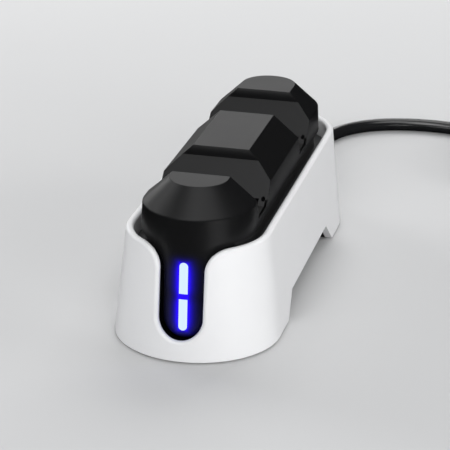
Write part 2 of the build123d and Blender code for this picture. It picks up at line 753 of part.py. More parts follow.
def relief_axis():
    """Frame of the lead's exit: its Z axis points backwards out of the shell."""
    return Pos(0, shell_end(EXIT_HEIGHT), EXIT_HEIGHT) * Rot(-90, 0, 0)


def along_exit(diameter, low, high):
    """Round bar on the exit's axis between two distances from the shell's outside."""
    return relief_axis() * Pos(0, 0, (low + high) / 2) * Cylinder(diameter / 2, high - low)


def strain_relief():
    """Grooved rubber boot with a neck in the shell's wall and a flange inside it."""
    inner = shell_form(SHELL_WALL, FOOT_PROUD, RIM_HEIGHT)
    outer = shell_form(0, FOOT_PROUD, RIM_HEIGHT)
    deep = RELIEF_BACK - shell_end(EXIT_HEIGHT)
    relief = along_exit(RELIEF_FLANGE_DIAMETER, deep, BOOT_LENGTH) & inner
    relief += along_exit(RELIEF_NECK_DIAMETER, deep, 0) & outer
    cone = Cone(BOOT_ROOT_DIAMETER / 2, BOOT_TIP_DIAMETER / 2, BOOT_LENGTH + SHELL_WALL)
    boot = relief_axis() * Pos(0, 0, (BOOT_LENGTH - SHELL_WALL) / 2) * cone - outer
    for count in range(BOOT_GROOVES):
        far = BOOT_LENGTH - BOOT_GROOVE_PITCH * (count + 1)
        ring = along_exit(BOOT_ROOT_DIAMETER, far, far + BOOT_GROOVE_WIDTH)
        boot -= ring - along_exit(CABLE_DIAMETER, far, far + BOOT_GROOVE_WIDTH)
    return relief + boot


def turn_radii(points):
    """Largest radius that the runs beside each corner of a route allow."""
    radii = []
    for before, corner, after in zip(points, points[1:], points[2:]):
        arriving = Vector(*corner) - Vector(*before)
        leaving = Vector(*after) - Vector(*corner)
        half_turn = math.radians(arriving.get_angle(leaving)) / 2
        radii.append(TURN_SHARE * min(arriving.length, leaving.length) / math.tan(half_turn))
    return radii


def tube(name, points):
    """Round cable along straight runs joined by tangent arcs."""
    radii = turn_radii(points)
    path = FilletPolyline(*points, radius=radii)
    start = Plane(origin=path @ 0, z_dir=path % 0)
    solid = sweep(start * Circle(CABLE_RADIUS), path)
    expected = math.pi * CABLE_RADIUS**2 * path.length
    print(name, "length", round(path.length, 1), "volume ratio", round(solid.volume / expected, 4))
    print(name, "radii", [round(radius, 1) for radius in radii])
    return solid


def input_lead():
    """Lead inside the dock, from the strain relief up to its header."""
    end_z = BOARD_BOTTOM - INPUT_HEADER_HEIGHT / 2
    points = [
        (0, RELIEF_BACK, EXIT_HEIGHT),
        (0, RELIEF_BACK - LEAD_RUN, EXIT_HEIGHT),
        (0, BOARD_REAR + LEAD_RUN, end_z),
        (0, BOARD_REAR, end_z),
    ]
    return tube("input_lead", points)


# Points of the cable on the floor behind the dock, chosen by hand
CABLE_ROUTE = [
    (0.0, RELIEF_END, EXIT_HEIGHT),
    (0.0, RELIEF_END + 12.0, EXIT_HEIGHT),
    (0.6, 137.0, 5.2),
    (2.9, 153.0, CABLE_RADIUS),
    (6.6, 167.0, CABLE_RADIUS),
    (12.5, 179.2, CABLE_RADIUS),
    (22.2, 188.4, CABLE_RADIUS),
    (35.4, 194.2, CABLE_RADIUS),
    (52.0, 196.4, CABLE_RADIUS),
    (70.0, COIL_Y + COIL_RADIUS + CABLE_RADIUS, CABLE_RADIUS),
    (COIL_X - COIL_STUB, COIL_Y + COIL_RADIUS + CABLE_RADIUS, CABLE_RADIUS),
]
TAIL_X = COIL_X + COIL_RADIUS + CABLE_RADIUS
TAIL_ROUTE = [
    (TAIL_X, COIL_Y - COIL_STUB, UPPER_TURN),
    (TAIL_X, 122.0, UPPER_TURN),
    (TAIL_X, 108.0, PLUG_AXIS),
    (TAIL_X, 96.0, PLUG_AXIS),
]


def coil_section(growth):
    """Section of the coil, two turns wide and two high, grown sideways and upwards."""
    low = TIE_THICKNESS - growth
    high = COIL_SIDE + growth
    return Pos(COIL_RADIUS, (low + high) / 2) * Rectangle(COIL_SIDE + 2 * growth, high - low)


def coil_tie():
    """Strap round the coil."""
    frame = Pos(COIL_X, COIL_Y, 0) * Rot(0, 0, TIE_ANGLE)
    strap = coil_section(TIE_THICKNESS) - coil_section(0)
    return frame * extrude(Plane.XZ * strap, TIE_WIDTH / 2, both=True)


def cable_coil():
    """Outer shape of the coiled length, with a stub where the cable runs in and out."""
    section = Pos(COIL_RADIUS, COIL_SIDE / 2) * RectangleRounded(COIL_SIDE, COIL_SIDE, COIL_ROUND)
    ring = Pos(COIL_X, COIL_Y, 0) * revolve(Plane.XZ * section, Axis.Z)
    stub = Cylinder(CABLE_RADIUS, COIL_STUB)
    inlet = CABLE_ROUTE[-1]
    outlet = TAIL_ROUTE[0]
    ring += Pos(inlet[0] + COIL_STUB / 2, inlet[1], inlet[2]) * Rot(0, 90, 0) * stub
    ring += Pos(outlet[0], outlet[1] + COIL_STUB / 2, outlet[2]) * Rot(90, 0, 0) * stub
    return ring - coil_tie()


def plug_block(x_size, z_size, near, far):
    """Box on the plug's axis between two distances along the plug."""
    end = TAIL_ROUTE[-1][1]
    middle = end - (near + far) / 2
    return Pos(TAIL_X, middle, PLUG_AXIS) * Box(x_size, far - near, z_size)


def plug_body():
    """Moulded grip of the plug with its tapered neck."""
    body = plug_block(PLUG_WIDTH, PLUG_HEIGHT, PLUG_NECK, PLUG_END)
    body = fillet(body.edges().filter_by(Axis.Y), PLUG_ROUND)
    neck = Cone(PLUG_NECK_DIAMETER / 2, CABLE_RADIUS + SLIDE_FIT, PLUG_NECK)
    body += Pos(TAIL_X, TAIL_ROUTE[-1][1] - PLUG_NECK / 2, PLUG_AXIS) * Rot(-90, 0, 0) * neck
    return body - plug_block(PLUG_SHELL_WIDTH, PLUG_SHELL_HEIGHT, PLUG_END - PLUG_SOCKET_DEPTH, PLUG_END)


def plug_shell():
    """Metal shell of the plug, let into the grip."""
    near = PLUG_END - PLUG_SOCKET_DEPTH
    far = PLUG_END + PLUG_SHELL_LENGTH
    tube_form = plug_block(PLUG_SHELL_WIDTH, PLUG_SHELL_HEIGHT, near, far)
    inner_width = PLUG_SHELL_WIDTH - 2 * PLUG_SHELL_WALL
    inner_height = PLUG_SHELL_HEIGHT - 2 * PLUG_SHELL_WALL
    return tube_form - plug_block(inner_width, inner_height, near, far)


def plug_tongue():
    """Insulating tongue in the upper half of the plug's shell."""
    width = PLUG_SHELL_WIDTH - 2 * PLUG_SHELL_WALL
    near = PLUG_END - PLUG_SOCKET_DEPTH
    far = PLUG_END + PLUG_SHELL_LENGTH - PLUG_SHELL_WALL
    lift = (PLUG_SHELL_HEIGHT - PLUG_TONGUE_HEIGHT) / 2 - PLUG_SHELL_WALL
    return Pos(0, 0, lift) * plug_block(width, PLUG_TONGUE_HEIGHT, near, far)


def pieces():
    """Every piece of the dock by name."""
    nodes = {
        "base_shell": base_shell(),
        "cradle_housing": cradle_housing(),
        "bottom_cover": bottom_cover(),
        "cover_screws": cover_screws(),
        "main_board": main_board(),
        "board_screws": board_screws(),
        "charge_chips": charge_chips(),
        "power_inductors": power_inductors(),
        "input_header": input_header(),
        "led_header": led_header(),
        "light_bar_lower": light_bar(0),
        "light_bar_upper": light_bar(1),
        "light_box": light_box(),
        "led_board": led_board(),
        "led_chips": led_chips(),
        "led_ribbon": led_ribbon(),
        "strain_relief": strain_relief(),
        "input_lead": input_lead(),
        "cable": tube("cable", CABLE_ROUTE),
        "cable_coil": cable_coil(),
        "coil_tie": coil_tie(),
        "cable_tail": tube("cable_tail", TAIL_ROUTE),
        "plug_body": plug_body(),
        "plug_shell": plug_shell(),
        "plug_tongue": plug_tongue(),
    }
    nodes.update(foot_pads())
    for end in CHANNEL_FRONT_EDGES:
        nodes[f"contact_block_{end}"] = contact_block(end)
        nodes[f"contact_blades_{end}"] = Compound(blades(end))
    return nodes


os.makedirs("parts", exist_ok=True)
for node_name, node_solid in pieces().items():
    export_step(node_solid, f"parts/{node_name}.step")
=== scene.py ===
"""Looks of a charging dock for two game controllers: finishes, supply cord, studio and camera.

Metres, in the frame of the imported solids: X runs across the dock, the front faces -Y and Z is up.
"""

import json
import logging
import math
from dataclasses import dataclass
from enum import Enum

import bmesh
import bpy
from mathutils import Matrix, Vector


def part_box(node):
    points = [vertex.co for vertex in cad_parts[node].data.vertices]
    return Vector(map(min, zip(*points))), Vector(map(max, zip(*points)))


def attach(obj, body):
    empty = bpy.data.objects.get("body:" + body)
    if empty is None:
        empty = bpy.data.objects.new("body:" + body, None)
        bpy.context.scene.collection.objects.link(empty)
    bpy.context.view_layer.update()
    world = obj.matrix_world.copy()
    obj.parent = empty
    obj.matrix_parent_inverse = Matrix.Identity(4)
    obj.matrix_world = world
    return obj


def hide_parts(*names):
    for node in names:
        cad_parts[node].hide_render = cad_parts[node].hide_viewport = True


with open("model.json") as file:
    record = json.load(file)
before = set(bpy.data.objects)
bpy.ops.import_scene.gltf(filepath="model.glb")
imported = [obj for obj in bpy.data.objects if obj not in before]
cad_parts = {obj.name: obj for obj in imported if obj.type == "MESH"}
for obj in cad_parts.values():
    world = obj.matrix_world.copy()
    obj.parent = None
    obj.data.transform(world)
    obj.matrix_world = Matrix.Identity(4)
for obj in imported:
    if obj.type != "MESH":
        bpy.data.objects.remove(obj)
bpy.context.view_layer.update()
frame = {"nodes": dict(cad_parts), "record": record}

LOG = logging.getLogger("charging_dock")
MM = 0.001
BODY = "root"

Colour = tuple[float, float, float]
Point = tuple[float, float, float]
Span = tuple[float, float]
Box = tuple[Vector, Vector]

BLACK: Colour = (0.0, 0.0, 0.0)
BAR_HALF_WIDTH = 1.6 * MM
CLOUD_WIDTH = 14 * MM
CLOUD_DETAIL = 3.0
FINE_DETAIL = 2.0
EDGE_SAMPLES = 6
MIX_FIRST, MIX_SECOND, MIX_RESULT = 6, 7, 2


class Signal:
    """A number that varies over a surface, kept as an output socket of a node graph."""

    def __init__(self, graph: "Graph", socket: bpy.types.NodeSocket) -> None:
        """Wraps one output socket of a graph."""
        self.graph = graph
        self.socket = socket

    def _math(
        self, operation: str, first: "Signal | float", second: "Signal | float" = 0.0
    ) -> "Signal":
        """Adds one Math node.

        Args:
            operation: Name of the Math node's operation.
            first: First operand.
            second: Second operand, where the operation has one.

        Returns:
            The node's result.
        """
        operands = {0: first, 1: second}
        node = self.graph.node("ShaderNodeMath", {"operation": operation}, operands)
        return Signal(self.graph, node.outputs[0])

    def __add__(self, other: "Signal | float") -> "Signal":
        """Sum with a signal or a number."""
        return self._math("ADD", self, other)

    def __radd__(self, other: float) -> "Signal":
        """Sum with a number on the left."""
        return self._math("ADD", other, self)

    def __sub__(self, other: "Signal | float") -> "Signal":
        """Difference from a signal or a number."""
        return self._math("SUBTRACT", self, other)

    def __rsub__(self, other: float) -> "Signal":
        """Difference from a number on the left."""
        return self._math("SUBTRACT", other, self)

    def __mul__(self, other: "Signal | float") -> "Signal":
        """Product with a signal or a number."""
        return self._math("MULTIPLY", self, other)

    def __rmul__(self, other: float) -> "Signal":
        """Product with a number on the left."""
        return self._math("MULTIPLY", other, self)

    def __truediv__(self, other: "Signal | float") -> "Signal":
        """Quotient by a signal or a number."""
        return self._math("DIVIDE", self, other)

    def __rpow__(self, other: float) -> "Signal":
        """Power of a fixed base."""
        return self._math("POWER", other, self)

    def __abs__(self) -> "Signal":
        """Size without its sign."""
        return self._math("ABSOLUTE", self)

    def at_least(self, low: "Signal | float") -> "Signal":
        """Larger of this and a limit."""
        return self._math("MAXIMUM", self, low)

    def at_most(self, high: "Signal | float") -> "Signal":
        """Smaller of this and a limit."""
        return self._math("MINIMUM", self, high)

    def root(self) -> "Signal":
        """Square root."""
        return self._math("SQRT", self)

    def rise(self, low: float, high: float) -> "Signal":
        """Smooth step from 0 at a low value to 1 at a high one.

        Args:
            low: Value that gives 0.
            high: Value that gives 1.

        Returns:
            The step.
        """
        limits = {"Value": self, "From Min": low, "From Max": high}
        smooth = {"interpolation_type": "SMOOTHSTEP"}
        node = self.graph.node("ShaderNodeMapRange", smooth, limits)
        return Signal(self.graph, node.outputs["Result"])


class Graph:
    """Node graph of one material, built round its Principled shader."""

    def __init__(self, name: str) -> None:
        """Makes a new material with a bare shader."""
        self.material = bpy.data.materials.new(name)
        self.material.use_nodes = True
        self.tree = self.material.node_tree
        self.shader = next(node for node in self.tree.nodes if node.type == "BSDF_PRINCIPLED")

    def node(
        self, kind: str, settings: dict[str, object], inputs: dict[str | int, object]
    ) -> bpy.types.Node:
        """Adds a node, sets it up and feeds its sockets.

        Args:
            kind: Blender's name of the node's type.
            settings: Properties to set first.
            inputs: Values or links by socket name or number.

        Returns:
            The new node.
        """
        made = self.tree.nodes.new(kind)
        for name, value in settings.items():
            setattr(made, name, value)
        for key, value in inputs.items():
            self.feed(made.inputs[key], value)
        return made

    def feed(self, socket: bpy.types.NodeSocket, value: object) -> None:
        """Links a signal or socket to an input, or sets the input's own value."""
        if isinstance(value, Signal):
            self.tree.links.new(value.socket, socket)
        elif isinstance(value, bpy.types.NodeSocket):
            self.tree.links.new(value, socket)
        elif socket.type == "RGBA":
            socket.default_value = (*value, 1.0)
        else:
            socket.default_value = value

    def shade(self, **inputs: object) -> None:
        """Feeds the shader's sockets, named with underscores for spaces."""
        for name, value in inputs.items():
            self.feed(self.shader.inputs[name.replace("_", " ")], value)

    def place(self) -> bpy.types.NodeSocket:
        """Place on the piece, in metres of the frame."""
        return self.node("ShaderNodeTexCoord", {}, {}).outputs["Object"]

    def axes(self) -> tuple[Signal, Signal, Signal]:
        """Place on the piece as three signals, along X, Y and Z."""
        split = self.node("ShaderNodeSeparateXYZ", {}, {"Vector": self.place()})
        return tuple(Signal(self, output) for output in split.outputs)

    def noise(self, size: float, detail: float = FINE_DETAIL) -> Signal:
        """Cloudy noise from 0 to 1.

        Args:
            size: Width of one cloud in metres.
            detail: Number of finer layers.

        Returns:
            The noise.
        """
        inputs = {"Vector": self.place(), "Scale": 1 / size, "Detail": detail}
        return Signal(self, self.node("ShaderNodeTexNoise", {}, inputs).outputs[0])

    def mix(self, share: Signal, first: object, second: object) -> bpy.types.NodeSocket:
        """Blend of two colours.

        Args:
            share: Share of the second colour.
            first: Colour where the share is 0.
            second: Colour where the share is 1.

        Returns:
            The blended colour.
        """
        inputs = {"Factor": share, MIX_FIRST: first, MIX_SECOND: second}
        return self.node("ShaderNodeMix", {"data_type": "RGBA"}, inputs).outputs[MIX_RESULT]

    def relief(self, height: Signal, depth: float, edge: float = 0.0) -> bpy.types.NodeSocket:
        """Bumped normal, with its edges eased where a radius is given.

        Args:
            height: Height from 0 to 1.
            depth: Height in metres at 1.
            edge: Radius that eases the edges, in metres.

        Returns:
            The normal.
        """
        inputs = {"Height": height, "Distance": depth}
        if edge:
            eased = self.node("ShaderNodeBevel", {"samples": EDGE_SAMPLES}, {"Radius": edge})
            inputs["Normal"] = eased.outputs[0]
        return self.node("ShaderNodeBump", {}, inputs).outputs[0]


@dataclass(frozen=True)
class Moulding:
    """Moulded plastic or rubber with a fine grain.

    Attributes:
        name: Material name.
        colour: Base colour.
        roughness: Mean roughness.
        grain: Width of one grain in metres.
        depth: Depth of the grain in metres.
        mottle: Share by which roughness and colour wander over the piece.
        edge: Radius that eases the edges in metres.
        coat: Weight of a thin clear surface.
        shine: Level of the surface's own reflection, 0.5 for common plastic.
    """

    name: str
    colour: Colour
    roughness: float
    grain: float = 0.35 * MM
    depth: float = 0.006 * MM
    mottle: float = 0.06
    edge: float = 0.25 * MM
    coat: float = 0.0
    shine: float = 0.5

    def graph(self) -> Graph:
        """Builds the finish as a graph that others may add to."""
        graph = Graph(self.name)
        cloud = graph.noise(CLOUD_WIDTH, CLOUD_DETAIL)
        dark = tuple(part * (1 - self.mottle) for part in self.colour)
        bright = tuple(min(1.0, part * (1 + self.mottle)) for part in self.colour)
        wander = self.mottle * self.roughness
        graph.shade(
            Base_Color=graph.mix(cloud, dark, bright),
            Roughness=self.roughness - wander + cloud * (2 * wander),
            Normal=graph.relief(graph.noise(self.grain), self.depth, self.edge),
            Coat_Weight=self.coat,
            Coat_Roughness=self.roughness,
            Specular_IOR_Level=self.shine,
        )
        return graph

    def build(self) -> bpy.types.Material:
        """Returns the finished material."""
        return self.graph().material


@dataclass(frozen=True)
class Metal:
    """Plated metal with fine drawn lines.

    Attributes:
        name: Material name.
        colour: Base colour.
        roughness: Mean roughness.
        line: Width of one line in metres.
        metallic: Share of bare metal in the plating.
        drawn: Scale of the lines along Y, where they are drawn out.
        dark: Share of the colour that is left in the lines.
        wander: Share by which the roughness wanders over the lines.
        depth: Depth of a line in metres.
        edge: Radius that eases the edges in metres.
    """

    name: str
    colour: Colour
    roughness: float
    line: float = 0.2 * MM
    metallic: float = 0.7
    drawn: float = 0.04
    dark: float = 0.9
    wander: float = 0.2
    depth: float = 0.002 * MM
    edge: float = 0.1 * MM

    def build(self) -> bpy.types.Material:
        """Returns the finished material."""
        graph = Graph(self.name)
        place = {"Vector": graph.place(), "Scale": (1.0, self.drawn, 1.0)}
        stretched = graph.node("ShaderNodeMapping", {}, place).outputs[0]
        inputs = {"Vector": stretched, "Scale": 1 / self.line, "Detail": FINE_DETAIL}
        lines = Signal(graph, graph.node("ShaderNodeTexNoise", {}, inputs).outputs[0])
        dark = tuple(part * self.dark for part in self.colour)
        wander = self.wander * self.roughness
        graph.shade(
            Base_Color=graph.mix(lines, dark, self.colour),
            Metallic=self.metallic,
            Roughness=self.roughness - wander + lines * (2 * wander),
            Normal=graph.relief(lines, self.depth, self.edge),
        )
        return graph.material


@dataclass(frozen=True)
class LitBar:
    """Translucent bar lit from behind.

    Attributes:
        name: Material name.
        core: Colour of the light in the middle of the bar.
        rim: Colour of the light at the bar's edge.
        rim_start: Share of the half width at which the rim begins.
        half_width: Half the bar's width in metres.
        strength: Strength of the light.
        unlit: Base colour.
        roughness: Least roughness.
        wander: Roughness that the grain adds at most.
        grain: Width of one grain in metres.
    """

    name: str
    core: Colour = (0.67, 0.84, 0.97)
    rim: Colour = (0.74, 0.9, 1.0)
    rim_start: float = 0.6
    half_width: float = BAR_HALF_WIDTH
    strength: float = 1.0
    unlit: Colour = (0.03, 0.04, 0.05)
    roughness: float = 0.35
    wander: float = 0.05
    grain: float = 0.4 * MM

    def build(self) -> bpy.types.Material:
        """Returns the finished material."""
        graph = Graph(self.name)
        across = abs(graph.axes()[0]) / self.half_width
        graph.shade(
            Base_Color=self.unlit,
            Roughness=self.roughness + graph.noise(self.grain) * self.wander,
            Emission_Color=graph.mix(across.rise(self.rim_start, 1.0), self.core, self.rim),
            Emission_Strength=self.strength,
        )
        return graph.material


@dataclass(frozen=True)
class GlowingHousing:
    """Black housing with the blue light of the bars painted on its tongue as a glow of its own.

    Attributes:
        base: Finish of the plastic.
        low: Lower end of the bars in metres.
        high: Upper end of the bars in metres.
        glow: Colour of the painted glow beside a bar.
        half_width: Half a bar's width in metres.
        front: Place along Y in front of which the tongue is lit.
        front_blend: Length over which the light ends behind that place.
        strength: Strength of the light at a bar's edge.
        fade: Share of the light that is left one millimetre further from a bar.
        past_ends: Factor by which the light fades faster past the ends of the bars.
        run_in: Length at each end over which a bar grows bright.
        overhang: Length past an end from which the run-in is counted.
        dip: Share that is lost beside the gap between the bars.
        dip_reach: Reach of that loss up and down from the gap.
        painted_gap_light: Colour painted into the gap below the skin, a painted lift of light where
            that gap lies in shade.
        skin_low: Height at which the skin has turned in.
        skin_high: Height below which the skin turns in.
        mouth: Half the width of the skin where it runs down into the tongue.
        mouth_blend: Half the width over which that run ends at its sides.
        mouth_back: Place along Y behind which that run ends.
        back_blend: Half the length over which it ends there.
    """

    base: Moulding
    low: float
    high: float
    glow: Colour = (0.016, 0.0, 1.0)
    half_width: float = BAR_HALF_WIDTH
    front: float = -78.0 * MM
    front_blend: float = 2.0 * MM
    strength: float = 2.2
    fade: float = 0.353
    past_ends: float = 1.5
    run_in: float = 5.0 * MM
    overhang: float = 3.2 * MM
    dip: float = 0.42
    dip_reach: float = 4.0 * MM
    painted_gap_light: Colour = (0.06, 0.06, 0.061)
    skin_low: float = 41.0 * MM
    skin_high: float = 43.5 * MM
    mouth: float = 17.0 * MM
    mouth_blend: float = 0.4 * MM
    mouth_back: float = -67.0 * MM
    back_blend: float = 1.0 * MM

    def level(self, z: Signal) -> Signal:
        """How bright the bars are along their length, from 0 to 1.

        Args:
            z: Height in metres.

        Returns:
            The level, lower at both ends and beside the gap.
        """
        inside = z.at_least(self.low).at_most(self.high)
        rising = inside.rise(self.low - self.overhang, self.low + self.run_in)
        falling = 1 - inside.rise(self.high - self.run_in, self.high + self.overhang)
        off_gap = abs(z - (self.low + self.high) / 2).rise(0.0, self.dip_reach)
        return rising * falling * (1 - self.dip * (1 - off_gap))

    def painted_gap_light_share(self, x: Signal, y: Signal, z: Signal) -> Signal:
        """Where painted light lifts the shaded gap below the housing's skin, from 0 to 1.

        Args:
            x: Place across the dock.
            y: Place along the dock.
            z: Height.

        Returns:
            The share, 0 on the tongue.
        """
        below = 1 - z.rise(self.skin_low, self.skin_high)
        side, back = self.mouth, self.mouth_back
        beside = abs(x).rise(side - self.mouth_blend, side + self.mouth_blend)
        behind = y.rise(back - self.back_blend, back + self.back_blend)
        return below * beside.at_least(behind)

    def build(self) -> bpy.types.Material:
        """Returns the finished material."""
        graph = self.base.graph()
        x, y, z = graph.axes()
        skin_colour = graph.shader.inputs["Base Color"].links[0].from_socket
        middle, half_length = (self.low + self.high) / 2, (self.high - self.low) / 2
        beside = (abs(x) - self.half_width).at_least(0.0)
        beyond = (abs(z - middle) - half_length).at_least(0.0) * self.past_ends
        distance = (beside * beside + beyond * beyond).root() / MM
        on_tongue = 1 - y.rise(self.front, self.front + self.front_blend)
        light = self.fade**distance * self.level(z) * on_tongue
        graph.shade(
            # Painted light: the shaded gap below the skin gets a lighter colour in place of the
            # light that reaches it.
            Base_Color=graph.mix(self.painted_gap_light_share(x, y, z), skin_colour, self.painted_gap_light),
            # Painted light: the bars' blue light on the tongue is painted here as the housing's own
            # emission.
            Emission_Color=graph.mix(light, BLACK, self.glow),
            Emission_Strength=self.strength,
        )
        return graph.material


class Stiffness(Enum):
    """How a cord bends, in the words of the frame."""

    LIMP = "limp"
    MEDIUM = "medium"
    STIFF = "stiff"


@dataclass
class SupplyCord:
    """Supply cord on the floor: free run, tied coil and tail up to the plug.

    Attributes:
        diameter: Diameter of the cord.
        length: Length of the whole cord; not used.
        coil_x: Coil's middle along X.
        coil_y: Coil's middle along Y.
        coil_radius: Radius between the inner and the outer turns.
        coil_start: Distance along X from the coil's middle to where the run ends.
        turns: Number of turns.
        steps: Points in one turn.
        moves_in: Turns between which the cord moves to the inner ring.
        moves_up: Turns between which it rises to the upper layer.
        moves_out: Turns between which it moves to the outer ring again.
        stiffness: How the cord bends; not used.
        route: Points of the free run in millimetres.
        tail_route: Places along Y and Z of the tail's points in millimetres.
        ring_steps: Steps round a quarter of the cord's section.
        run_steps: Steps between two points of the cord.
        order: Order of the smooth curve.
    """

    diameter: float = 6.0 * MM
    length: float = 0.92
    coil_x: float = 112.0 * MM
    coil_y: float = 158.0 * MM
    coil_radius: float = 33.0 * MM
    coil_start: float = 24.0 * MM
    turns: float = 3.25
    steps: int = 16
    moves_in: Span = (0.7, 1.0)
    moves_up: Span = (1.5, 1.75)
    moves_out: Span = (2.2, 2.5)
    stiffness: Stiffness = Stiffness.MEDIUM
    route: tuple[Point, ...] = (
        (0.0, 108.044, 11.0),
        (0.0, 120.044, 11.0),
        (0.6, 137.0, 5.2),
        (2.9, 153.0, 3.0),
        (6.6, 167.0, 3.0),
        (12.5, 179.2, 3.0),
        (22.2, 188.4, 3.0),
        (35.4, 194.2, 3.0),
        (52.0, 196.4, 3.0),
        (70.0, 194.0, 3.0),
    )
    tail_route: tuple[Span, ...] = ((134.0, 9.0), (122.0, 9.0), (108.0, 4.3), (96.0, 4.3))
    ring_steps: int = 7
    run_steps: int = 10
    order: int = 3

    def run(self) -> list[Point]:
        """Points of the free run from the strain relief to the coil."""
        radius = self.diameter / 2
        start_y = self.coil_y + self.coil_radius + radius
        points = [tuple(part * MM for part in point) for point in self.route]
        return points + [(self.coil_x - self.coil_start, start_y, radius)]

    @staticmethod
    def step(value: float, low: float, high: float) -> float:
        """Smooth step from 0 at a low value to 1 at a high one."""
        share = min(1.0, max(0.0, (value - low) / (high - low)))
        return share * share * (3 - 2 * share)

    def coil(self) -> list[Point]:
        """Points of the coil: outer turn, inner turn, up a layer and out again."""
        radius = self.diameter / 2
        stretch = 4 / (3 + math.cos(2 * math.pi / self.steps))
        points = []
        for count in range(1, round(self.turns * self.steps)):
            turn = count / self.steps
            inwards = self.step(turn, *self.moves_in) - self.step(turn, *self.moves_out)
            upwards = self.step(turn, *self.moves_up)
            reach = (self.coil_radius + radius - inwards * self.diameter) * stretch
            angle = math.pi / 2 - 2 * math.pi * turn
            x = self.coil_x + reach * math.cos(angle)
            y = self.coil_y + reach * math.sin(angle)
            points.append((x, y, radius + upwards * self.diameter))
        return points

    def tail(self) -> list[Point]:
        """Points of the tail from the coil to the plug."""
        x = self.coil_x + self.coil_radius + self.diameter / 2
        return [(x, y * MM, z * MM) for y, z in self.tail_route]

    def build(
        self, material: bpy.types.Material, plug_detail: list[bpy.types.Object]
    ) -> bpy.types.Object:
        """Args:
            material: Finish of the sheath.
            plug_detail: Pieces on the plug; not used.

        Returns:
            The cord.
        """
        curve = bpy.data.curves.new("supply_cord", "CURVE")
        curve.dimensions = "3D"
        curve.bevel_depth = self.diameter / 2
        curve.bevel_resolution = self.ring_steps
        curve.resolution_u = self.run_steps
        curve.use_fill_caps = True
        points = self.run() + self.coil() + self.tail()
        spline = curve.splines.new("NURBS")
        spline.points.add(len(points) - 1)
        for point, place in zip(spline.points, points):
            point.co = (*place, 1.0)
        spline.order_u = self.order
        spline.use_endpoint_u = True
        spline.use_smooth = True
        curve.materials.append(material)
        cord = bpy.data.objects.new("supply_cord", curve)
        bpy.context.scene.collection.objects.link(cord)
        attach(cord, BODY)
        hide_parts("cable", "cable_coil", "cable_tail")
        on_cord = ["plug_body", "plug_shell", "plug_tongue", "coil_tie", "strain_relief"]
        on_cord + plug_detail
        return cord


@dataclass
class PlugDetail:
    """Ribs on the plug's grip and windows in its metal shell.

    Attributes:
        ribs: Number of ribs.
        pitch: Distance between two ribs.
        rib_width: Width of a rib.
        rib_height: Height of a rib.
        margin: Distance from the ends of a rib to the sides of the grip.
        neck: Length of the tapered neck behind the grip.
        window: Side of a window.
        window_spacing: Distance between the middles of the windows.
        window_inset: Distance of the windows from the shell's open end.
        lift: Height of a window's dark face above the metal.
        ease: Width of the eased edges as a share of a block's height.
        ease_steps: Steps of an eased edge.
    """

    ribs: int = 6
    pitch: float = 2.3 * MM
    rib_width: float = 1.1 * MM
    rib_height: float = 0.4 * MM
    margin: float = 3.0 * MM
    neck: float = 9.0 * MM
    window: float = 2.3 * MM
    window_spacing: float = 5.4 * MM
    window_inset: float = 6.6 * MM
    lift: float = 0.05 * MM
    ease: float = 1 / 3
    ease_steps: int = 2

    def blocks(self, name: str, boxes: list[Box], height: float) -> bpy.types.Object:
        """Makes one piece of small blocks that moves with the dock.

        Args:
            name: Name of the piece.
            boxes: Lowest and highest corner of each block.
            height: Height of the blocks.

        Returns:
            The piece.
        """
        form = bmesh.new()
        for low, high in boxes:
            place = Matrix.LocRotScale((low + high) / 2, None, high - low)
            bmesh.ops.create_cube(form, size=1.0, matrix=place)
        bmesh.ops.bevel(
            form,
            geom=form.edges[:],
            offset=height * self.ease,
            segments=self.ease_steps,
            profile=0.5,
            affect="EDGES",
        )
        mesh = bpy.data.meshes.new(name)
        form.to_mesh(mesh)
        form.free()
        piece = bpy.data.objects.new(name, mesh)
        bpy.context.scene.collection.objects.link(piece)
        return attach(piece, BODY)

    def rib_boxes(self) -> list[Box]:
        """Boxes of the ribs across the top of the grip."""
        low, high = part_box("plug_body")
        middle = (low.y + high.y - self.neck) / 2
        boxes = []
        for count in range(self.ribs):
            y = middle + (count - (self.ribs - 1) / 2) * self.pitch
            near = Vector((low.x + self.margin, y - self.rib_width / 2, high.z))
            far = Vector((high.x - self.margin, y + self.rib_width / 2, high.z + self.rib_height))
            boxes.append((near, far))
        return boxes

    def window_boxes(self) -> list[Box]:
        """Boxes of the two windows in the top of the metal shell."""
        low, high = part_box("plug_shell")
        half = self.window / 2
        y = low.y + self.window_inset
        boxes = []
        for side in (-1, 1):
            x = (low.x + high.x) / 2 + side * self.window_spacing / 2
            near = Vector((x - half, y - half, high.z))
            boxes.append((near, Vector((x + half, y + half, high.z + self.lift))))
        return boxes

    def build(self, finishes: dict[str, bpy.types.Material]) -> list[bpy.types.Object]:
        """Makes the ribs and the windows.

        Args:
            finishes: Finishes by slot.

        Returns:
            Both pieces.
        """
        ribs = self.blocks("plug_ribs", self.rib_boxes(), self.rib_height)
        windows = self.blocks("plug_windows", self.window_boxes(), self.lift)
        for piece, slot in ((ribs, "plug_black"), (windows, "plug_insulator")):
            piece.data.materials.append(finishes[slot])
        return [ribs, windows]


class LightPart(Enum):
    """Part of a finish that a studio light brings out."""

    BODY = "body colour"
    SHEEN = "sheen"


@dataclass(frozen=True)
class Softbox:
    """Soft studio light that looks at the dock.

    Attributes:
        name: Light's name.
        part: Part of a finish that it brings out.
        azimuth: Direction round the dock, 0 in front and 90 on the right, in degrees.
        elevation: Direction above the floor in degrees.
        distance: Distance from the dock in metres.
        width: Width in metres.
        height: Height in metres.
        watts: Power.
    """

    name: str
    part: LightPart
    azimuth: float
    elevation: float
    distance: float
    width: float
    height: float
    watts: float


